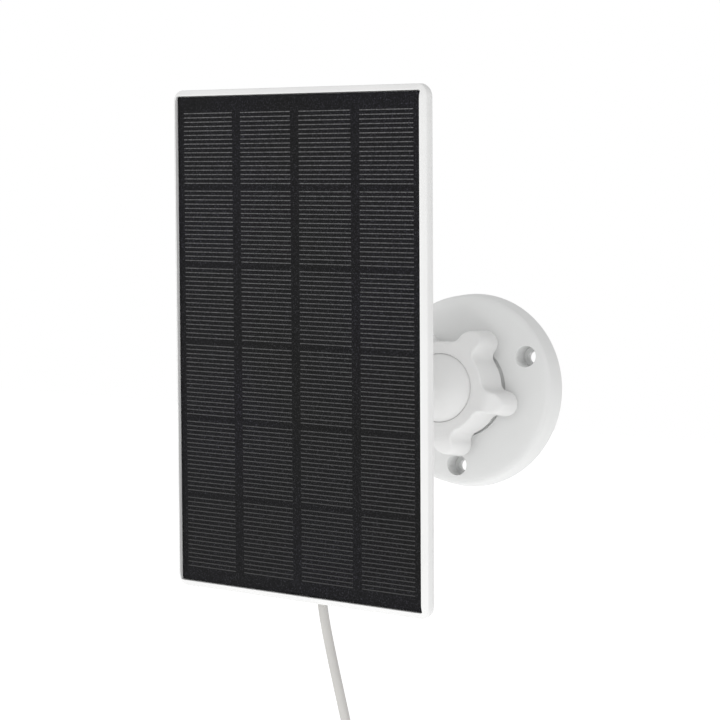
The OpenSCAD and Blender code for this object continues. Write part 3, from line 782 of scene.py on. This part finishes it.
def makeLockNut(shape):
    low, high = nodeSpan("lock_nut", armFrame)
    radius = shape["radius"]
    edge = 0.6 * mm
    nut = turned("lock_hand_nut", [(radius - edge, low.z), (radius, low.z + edge), (radius, high.z - edge),
                                   (radius - edge, high.z)], 96)
    cutters = []
    for index in range(shape["scallops"]):
        cutter = turned("scallop", [(shape["scallopRadius"], low.z - 1 * mm),
                                    (shape["scallopRadius"], high.z + 1 * mm)], 32)
        spin = Matrix.Rotation(math.radians(360 * index / shape["scallops"]), 4, "Z")
        moveMesh(cutter, spin @ Matrix.Translation((radius + shape["scallopOut"], 0, 0)))
        cutters.append(cutter)
    cutters.append(turned("bore", [(shape["bore"], low.z - 1 * mm), (shape["bore"], high.z + 1 * mm)], 64))
    combine(nut, joined("cutters", cutters), "DIFFERENCE")
    return finishPiece(nut, armFrame, "lock_nut", looks["nutWhite"], "nut_plastic", "lock_nut", smooth=30)


makeLockNut(lockShape)
print("lock nut made")

# front frame: white case half with the raised lip round the sheet
frameShape = {"lip": 2.05 * mm, "crest": 0.25 * mm, "slope": 1.4 * mm, "corner": 3.8 * mm, "edge": 0.4 * mm,
              "ledge": 4 * mm,
              "innerCorner": 0.6 * mm, "tongue": 1.2 * mm}


def roundedPlan(name, width, height, corner, low, high, centreY, segments=10):
    piece = startBlock(name, (width, height, high - low), (0, centreY, (low + high) / 2))
    pick(piece)
    selectEdges(piece, lambda a, b: abs(a.z - b.z) > 0.5 * (high - low))
    bpy.ops.mesh.bevel(offset=corner, segments=segments, profile=0.5)
    bpy.ops.object.mode_set(mode="OBJECT")
    return piece


def makeFrontFrame(shape):
    low, high = nodeSpan("front_frame", armFrame)
    coverTop = nodeSpan("rear_cover", armFrame)[1].z
    ledgeTop = nodeSpan("seal_tape", armFrame)[0].z
    width, height = high.x - low.x, high.y - low.y
    centreY = (high.y + low.y) / 2
    body = roundedPlan("white_front_frame", width, height, shape["corner"], coverTop,
                       high.z - shape["slope"], centreY, 12)
    # the lip slopes from a narrow crest beside the sheet back to the side
    selectFaces(body, lambda centre, normal: normal.z > 0.9)
    bpy.ops.mesh.extrude_region_move(TRANSFORM_OT_translate={"value": (0, 0, shape["slope"])})
    narrow = shape["lip"] - shape["crest"]
    bpy.ops.transform.resize(value=(1 - 2 * narrow / width, 1 - 2 * narrow / height, 1),
                             center_override=(0, centreY, high.z))
    bpy.ops.object.mode_set(mode="OBJECT")
    soften(body, shape["edge"], 4, 25)
    recess = roundedPlan("recess", width - 2 * shape["lip"], height - 2 * shape["lip"], shape["innerCorner"],
                         ledgeTop, high.z + 5 * mm, centreY, 4)
    combine(body, recess, "DIFFERENCE")
    tongueLow = coverTop - shape["tongue"]
    tongue = roundedPlan("tongue", width - 2 * shape["lip"], height - 2 * shape["lip"],
                         shape["corner"] - shape["lip"],
                         tongueLow, ledgeTop - 0.01 * mm, centreY, 4)
    combine(body, tongue, "UNION")
    opening = roundedPlan("opening", width - 2 * (shape["lip"] + shape["ledge"]),
                          height - 2 * (shape["lip"] + shape["ledge"]),
                          3 * mm, tongueLow - 1 * mm, ledgeTop + 1 * mm, centreY, 4)
    combine(body, opening, "DIFFERENCE")
    return finishPiece(body, armFrame, "panel", looks["caseWhite"], "white_plastic", "front_frame", smooth=30)


makeFrontFrame(frameShape)
print("front frame made")

# silver lines: each cell has a ladder of fine printed fingers
fingerShape = {"columns": 4, "rows": 6, "lines": 17, "pitch": 1.475 * mm, "length": 23 * mm,
               "width": 0.3 * mm, "rise": 0.03 * mm,
               "columnPitch": 26.9 * mm, "rowPitch": 26.25 * mm, "below": 0.35 * mm}


def makeFingers(shape):
    low, high = nodeSpan("clear_laminate", armFrame)
    centre = (low + high) / 2
    line = startBlock("silver_fingers", (shape["length"], shape["width"], shape["rise"]),
                      (0, 0, high.z + shape["rise"] * 0.4))
    selectFaces(line, lambda centre, normal: normal.z > 0.9)
    bpy.ops.mesh.inset(thickness=0.02 * mm)
    bpy.ops.object.mode_set(mode="OBJECT")
    for count, step in ((shape["lines"], (0, shape["pitch"], 0)), (shape["rows"], (0, shape["rowPitch"], 0)),
                        (shape["columns"], (shape["columnPitch"], 0, 0))):
        useModifier(line, "ARRAY", count=count, use_relative_offset=False, use_constant_offset=True,
                    constant_offset_displace=step)
    startX = centre.x - shape["columnPitch"] * (shape["columns"] - 1) / 2
    ladder = shape["pitch"] * (shape["lines"] - 1)
    startY = centre.y - shape["below"] - shape["rowPitch"] * (shape["rows"] - 1) / 2 - ladder / 2
    moveMesh(line, Matrix.Translation((startX, startY, 0)))
    return finishPiece(line, armFrame, "panel", looks["finger"], "silicon")


makeFingers(fingerShape)
print("silver lines printed")

# rear cover: tapered shell with the boss, screw wells and the cord's outlet
coverShape = {"corner": 3.6 * mm, "edgeBand": 0.8 * mm, "backEdge": 2.2 * mm, "wall": 2 * mm,
              "taper": 10 * mm,
              "boss": 11 * mm, "bossBore": 5.5 * mm, "bossHeight": 2 * mm, "outlet": 8.5 * mm,
              "outletLength": 17 * mm, "noseSink": 3.3 * mm,
              "reliefLength": 9 * mm, "groove": 3.9 * mm, "root": 2.6 * mm, "screwWell": 2.9 * mm,
              "screwHead": 2.6 * mm}


def makeRearCover(shape):
    low, high = nodeSpan("rear_cover", armFrame)
    screws = nodeSpan("cover_screws", armFrame)
    relief = nodeSpan("strain_relief", armFrame)
    backLow = screws[0].z - 0.1 * mm
    centreY = (high.y + low.y) / 2
    width, height = high.x - low.x, high.y - low.y
    body = startBlock("white_rear_cover", (width, height, shape["edgeBand"]),
                      (0, centreY, high.z - shape["edgeBand"] / 2))
    selectFaces(body, lambda centre, normal: normal.z < -0.9)
    bpy.ops.mesh.extrude_region_move(TRANSFORM_OT_translate={"value": (0, 0,
            backLow - high.z + shape["edgeBand"])})
    narrow = (1 - 2 * shape["taper"] / width, 1 - 2 * shape["taper"] / height, 1)
    bpy.ops.transform.resize(value=narrow, center_override=(0, centreY, backLow))
    bpy.ops.object.mode_set(mode="OBJECT")
    selectEdges(body, lambda a, b: abs(a.z - b.z) > 0.5 * mm)
    bpy.ops.mesh.bevel(offset=shape["corner"], segments=8, profile=0.5)
    bpy.ops.object.mode_set(mode="OBJECT")
    soften(body, shape["backEdge"], 5, 30)
    boss = turned("boss", [
        (shape["boss"] - 0.4 * mm, backLow - shape["bossHeight"]),
        (shape["boss"], backLow - shape["bossHeight"] + 0.4 * mm),
        (shape["boss"], backLow - 0.8 * mm), (shape["boss"] + 0.3 * mm, backLow - 0.3 * mm),
        (shape["boss"] + 1.1 * mm, backLow), (shape["boss"] + 1.1 * mm, backLow + 0.6 * mm)], 96)
    combine(body, boss, "UNION")
    # nose over the cord's outlet, rounded at its upper end and cut flat below
    reliefMid = (relief[0].z + relief[1].z) / 2
    outletLow = relief[0].y + shape["reliefLength"]
    nose = turned("nose", [(shape["outlet"] - 0.5 * mm, 0), (shape["outlet"], 0.5 * mm)]
                  + arc(0, shape["outletLength"], shape["outlet"], 0, 88, 12), 64)
    moveMesh(nose, Matrix.Translation((0, outletLow, backLow + shape["noseSink"]))
             @ Matrix.Rotation(math.radians(-90), 4, "X"))
    trim = startBlock("trim", (30 * mm, 40 * mm, 20 * mm),
                      (0, outletLow + 15 * mm, backLow + 5 * mm + 10 * mm))
    combine(nose, trim, "DIFFERENCE")
    combine(body, nose, "UNION")
    fill = startBlock("fill", (12 * mm, 9 * mm, 5.6 * mm), (0, outletLow, backLow + 2.8 * mm))
    # the hollow behind the frame, kept off the groove that the cord lies in
    inside = startBlock("inside", (width - 2 * shape["wall"], height - 2 * shape["wall"], 2 * mm),
                        (0, centreY, high.z))
    selectFaces(inside, lambda centre, normal: normal.z < -0.9)
    bpy.ops.mesh.extrude_region_move(TRANSFORM_OT_translate={"value": (0, 0,
            backLow + shape["wall"] - high.z + 1 * mm)})
    bpy.ops.transform.resize(value=narrow, center_override=(0, centreY, backLow))
    bpy.ops.object.mode_set(mode="OBJECT")
    combine(inside, fill, "DIFFERENCE")
    combine(body, inside, "DIFFERENCE")
    cutters = []
    groove = turned("groove", [(shape["groove"], -15 * mm), (shape["groove"], 0)], 48)
    moveMesh(groove, Matrix.Translation((0, outletLow, reliefMid))
             @ Matrix.Rotation(math.radians(-90), 4, "X"))
    cutters.append(groove)
    root = turned("root", [(shape["root"], -1 * mm), (shape["root"], 12 * mm)], 48)
    moveMesh(root, Matrix.Translation((0, outletLow, reliefMid)) @ Matrix.Rotation(math.radians(-90), 4, "X"))
    cutters.append(root)
    bore = turned("bore", [(shape["bossBore"], low.z - 1 * mm), (shape["bossBore"], backLow + 20 * mm)], 64)
    cutters.append(bore)
    for side in (-1, 1):
        for end in (-1, 1):
            well = turned("well", [(shape["screwWell"] + 0.5 * mm, backLow - 0.3 * mm),
                                   (shape["screwWell"], backLow + 0.25 * mm),
                                   (shape["screwWell"], backLow + 1.7 * mm)], 48)
            place = (screws[0].x + shape["screwHead"] if side < 0 else screws[1].x - shape["screwHead"],
                     screws[0].y + shape["screwHead"] if end < 0 else screws[1].y - shape["screwHead"], 0)
            moveMesh(well, Matrix.Translation(place))
            cutters.append(well)
    for cutter in cutters:
        combine(body, cutter, "DIFFERENCE")
    return finishPiece(body, armFrame, "panel", looks["caseWhite"], "white_plastic", "rear_cover", smooth=30)


makeRearCover(coverShape)
print("rear cover made")

# strain relief: soft tapered sleeve with rings cut round it
reliefShape = {"base": 3.5 * mm, "tip": 2.4 * mm, "root": 2.6 * mm, "length": 9 * mm, "rootLength": 9 * mm,
               "flange": 3.6 * mm,
               "flangeThick": 1.5 * mm, "rings": 4, "ringDepth": 0.45 * mm, "ringWidth": 0.7 * mm}


def makeStrainRelief(shape):
    low, high = nodeSpan("strain_relief", armFrame)
    steps = [(shape["tip"] - 0.3 * mm, 0), (shape["tip"], 0.3 * mm)]
    for ring in range(shape["rings"]):
        start = shape["length"] * (0.14 + 0.2 * ring)
        wide = shape["tip"] + (shape["base"] - shape["tip"]) * start / shape["length"]
        deep = wide - shape["ringDepth"]
        steps += [(wide, start), (deep, start + 0.15 * mm), (deep, start + shape["ringWidth"]),
                  (wide + 0.05 * mm, start + shape["ringWidth"] + 0.15 * mm)]
    steps += [(shape["base"], shape["length"] - 0.2 * mm), (shape["base"] - 0.2 * mm, shape["length"]),
              (shape["root"], shape["length"] + 0.01 * mm),
              (shape["root"], shape["length"] + shape["rootLength"]),
              (shape["flange"], shape["length"] + shape["rootLength"] + 0.01 * mm),
              (shape["flange"], shape["length"] + shape["rootLength"] + shape["flangeThick"])]
    relief = turned("cord_strain_relief", steps, 64)
    turn = armFrame @ Matrix.Translation((0, low.y,
                                          (low.z + high.z) / 2)) @ Matrix.Rotation(math.radians(-90), 4, "X")
    return finishPiece(relief, turn, "panel", looks["cord"], "cord_sheath", "strain_relief", smooth=35)


strainRelief = makeStrainRelief(reliefShape)

# tie: woven strap lapped over itself round the coil
tieShape = {"start": 46, "span": 19, "thick": 1.1 * mm, "lapThick": 0.9 * mm, "corner": 2 * mm, "segments": 8}


def makeTie(shape):
    diameter = cordShape["diameter"]
    centre = Vector(cordShape["coilCentre"]) * mm
    middle = cordShape["coilMeanRadius"] * mm
    halfAcross = cordShape["coilLayers"] * diameter / 2
    halfWide = cordShape["coilColumns"] * diameter / 2
    outer = startBlock("coil_strap", (2 * (halfAcross + shape["thick"]), shape["segments"] * 1 * mm,
                                      2 * (halfWide + shape["thick"])), (middle, 0, 0))
    inner = startBlock("strap_inside", (2 * halfAcross, shape["segments"] * 2 * mm, 2 * halfWide),
                       (middle, 0, 0))
    for block, corner in ((outer, shape["corner"] + shape["thick"]), (inner, shape["corner"])):
        pick(block)
        selectEdges(block, lambda a, b: abs(a.y - b.y) > 2 * mm)
        bpy.ops.mesh.bevel(offset=corner, segments=6, profile=0.5)
        bpy.ops.object.mode_set(mode="OBJECT")
    combine(outer, inner, "DIFFERENCE")
    soften(outer, 0.25 * mm, 2, 60)
    lap = startBlock("strap_end", (2 * halfAcross * 0.7, shape["segments"] * 1 * mm, shape["lapThick"]),
                     (middle, 0, -halfWide - shape["thick"] - shape["lapThick"] * 0.4))
    soften(lap, 0.35 * mm, 3, 60)
    strap = joined("coil_strap", [outer, lap])
    angle = math.radians(shape["start"] + shape["span"] / 2)
    turn = Matrix.Translation(centre) @ outward @ Matrix.Rotation(angle, 4, "Z")
    return finishPiece(strap, turn, "panel", looks["tie"], "tie", "cord_tie", smooth=35)


coilTie = makeTie(tieShape)
print("strain relief and tie made")

# the CAD pieces that keep their own shape
keptLooks = {
    "ball_seat": "seatGrey", "pressure_ring": "nutWhite", "lock_washer": "rubber", "lock_nut_insert": "brass",
    "clear_laminate": "sheet", "solar_cells": "chip", "cell_ribbons": "tin", "backing_board": "blackBoard",
    "seal_tape": "tape",
    "thread_insert": "brass", "cover_screws": "steel", "circuit_board": "board", "board_screws": "steel",
    "power_inductor": "chip",
    "regulator_chip": "chip", "filter_capacitors": "capacitor", "bypass_diode": "chip", "panel_leads": "wire",
    "plug_shell": "steel", "plug_tongue": "chip",
}
for node, look in keptLooks.items():
    cadNodes[node].data.materials.clear()
    cadNodes[node].data.materials.append(looks[look])
print("CAD pieces finished")

# floor and light
stageShape = {
    "drop": 0.02, "size": 30, "backdrop": 1.0, "sky": 0.63, "slant": (-0.12, -0.16, 0.15), "floorGlow": 0.42,
    "keyPower": 0.12, "keySize": 0.06, "keyAt": (0.21, -0.34, -0.16),
    "fillPower": 2.2, "fillSize": 0.8, "fillAt": (-0.9, -1.1, 0.55),
}


def aimAt(thing, target):
    way = Vector(target) - thing.location
    thing.rotation_euler = way.to_track_quat("-Z", "Y").to_euler()


def addLamp(name, power, size, place, target):
    data = bpy.data.lights.new(name, "AREA")
    data.energy = power
    data.size = size
    lamp = bpy.data.objects.new(name, data)
    bpy.context.scene.collection.objects.link(lamp)
    lamp.location = place
    lamp.visible_camera = False
    aimAt(lamp, target)


def makeStage(shape):
    deselectAll()
    bpy.ops.mesh.primitive_plane_add(size=shape["size"], location=(0, 0, cadBox[0][2] - shape["drop"]))
    floor = bpy.context.object
    floor.name = "floor"
    look, tree, shader, place = newLook("pale_floor")
    shader.inputs["Base Color"].default_value = (0.95, 0.95, 0.95, 1)
    shader.inputs["Roughness"].default_value = 1
    shader.inputs["Specular IOR Level"].default_value = 0
    shader.inputs["Emission Color"].default_value = (1, 1, 1, 1)
    shader.inputs["Emission Strength"].default_value = shape["floorGlow"]
    floor.data.materials.append(look)
    # sky: white behind the object, softer on it and a little brighter from the front, left and top
    world = bpy.data.worlds.new("studio")
    bpy.context.scene.world = world
    world.use_nodes = True
    tree = world.node_tree
    background = tree.nodes["Background"]
    background.inputs["Color"].default_value = (1, 1, 1, 1)
    place = tree.nodes.new("ShaderNodeTexCoord").outputs["Generated"]
    slant = tree.nodes.new("ShaderNodeVectorMath")
    slant.operation = "DOT_PRODUCT"
    tree.links.new(place, slant.inputs[0])
    slant.inputs[1].default_value = shape["slant"]
    strength = tree.nodes.new("ShaderNodeMath")
    strength.operation = "ADD"
    tree.links.new(slant.outputs["Value"], strength.inputs[0])
    strength.inputs[1].default_value = shape["sky"]
    seen = tree.nodes.new("ShaderNodeLightPath").outputs["Is Camera Ray"]
    choose = tree.nodes.new("ShaderNodeMix")
    choose.data_type = "FLOAT"
    tree.links.new(seen, choose.inputs["Factor"])
    tree.links.new(strength.outputs["Value"], choose.inputs["A"])
    choose.inputs["B"].default_value = shape["backdrop"]
    tree.links.new(choose.outputs["Result"], background.inputs["Strength"])
    addLamp("key", shape["keyPower"], shape["keySize"], shape["keyAt"], (0, -0.06, 0))
    addLamp("fill", shape["fillPower"], shape["fillSize"], shape["fillAt"], (0, -0.06, 0))
    bpy.context.scene.view_settings.view_transform = "Standard"


makeStage(stageShape)
print("stage lit")
